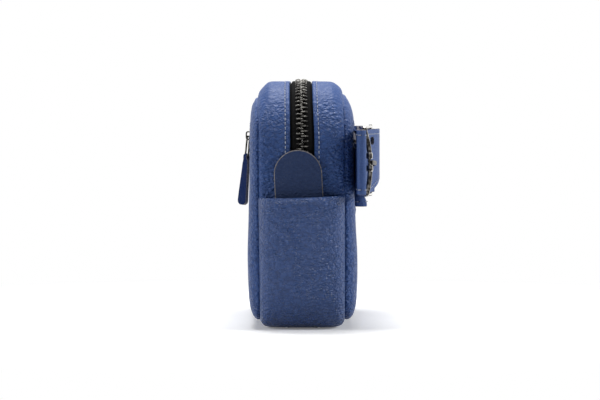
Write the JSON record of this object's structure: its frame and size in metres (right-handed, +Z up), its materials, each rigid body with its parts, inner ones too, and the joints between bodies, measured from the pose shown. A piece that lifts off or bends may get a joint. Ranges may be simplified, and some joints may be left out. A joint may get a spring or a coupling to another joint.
{
  "type": "leather belt bag",
  "caption": "Boxy leather waist bag with a zip over its top, slip pockets on its ends, a front zip pocket, and a buckled belt folded up behind it.",
  "frame": {"origin": "middle of the base, on the surface the bag stands on", "axes": "+X towards the end where the belt is buckled, -Y the front with the zip pocket, +Y the back with the belt, +Z up"},
  "size_m": [0.2362, 0.0921, 0.1613],
  "materials": {
    "bag_leather": "pebbled, soft sheen",
    "belt_leather": "smooth, raw cut edges",
    "zip_tape": "woven, matte",
    "zip_metal": "polished",
    "buckle_metal": "polished, dark nickel",
    "lining": "woven lining"
  },
  "bodies": {
    "bag": {"front_panel": "bag_leather", "back_panel": "bag_leather", "zip_gusset_front": "bag_leather", "zip_gusset_back": "bag_leather", "base_gusset": "bag_leather", "gusset_lining": "lining", "near_slip_pocket": "bag_leather", "far_slip_pocket": "bag_leather", "near_end_tab": "bag_leather", "far_end_tab": "bag_leather", "main_teeth_front": "zip_metal", "main_teeth_back": "zip_metal", "main_tape_front": "zip_tape", "main_tape_back": "zip_tape", "front_teeth_upper": "zip_metal", "front_teeth_lower": "zip_metal", "front_tape_upper": "zip_tape", "front_tape_lower": "zip_tape", "front_pocket_pouch": "lining", "belt_strap": "belt_leather", "near_belt_loop": "bag_leather", "far_belt_loop": "bag_leather"},
    "main_slider": {"main_slider": "zip_metal"},
    "main_pull": {"main_pull_link": "zip_metal", "main_pull_leather": "belt_leather"},
    "front_slider": {"front_slider": "zip_metal"},
    "front_pull": {"front_pull_link": "zip_metal", "front_pull_leather": "belt_leather"},
    "buckle": {"buckle_frame": "buckle_metal"},
    "prong": {"buckle_prong": "buckle_metal"}
  },
  "joints": [
    {"name": "main_slider_runs", "type": "hinge", "parent": "bag", "child": "main_slider", "pos_m": [-0.064, 0, 0.118], "axis": [0, 1, 0], "range_deg": [0, 78]},
    {"name": "main_pull_swings", "type": "hinge", "parent": "main_slider", "child": "main_pull", "pos_m": [-0.10981, 0, 0.12415], "axis": [0, 1, 0], "range_deg": [0, 140]},
    {"name": "front_slider_runs", "type": "slide", "parent": "bag", "child": "front_slider", "axis": [-1, 0, 0], "range_m": [0, 0.124]},
    {"name": "front_pull_swings", "type": "hinge", "parent": "front_slider", "child": "front_pull", "pos_m": [0.063, -0.03467, 0.124], "axis": [-1, 0, 0], "range_deg": [0, 140]},
    {"name": "buckle_turns", "type": "hinge", "parent": "bag", "child": "buckle", "pos_m": [0.052, 0.04545, 0.1081], "axis": [0, 0, 1], "range_deg": [0, 1.8]},
    {"name": "prong_turns", "type": "hinge", "parent": "buckle", "child": "prong", "pos_m": [0.052, 0.04545, 0.1061], "axis": [0, 0, 1], "range_deg": [0, 1.2]}
  ]
}
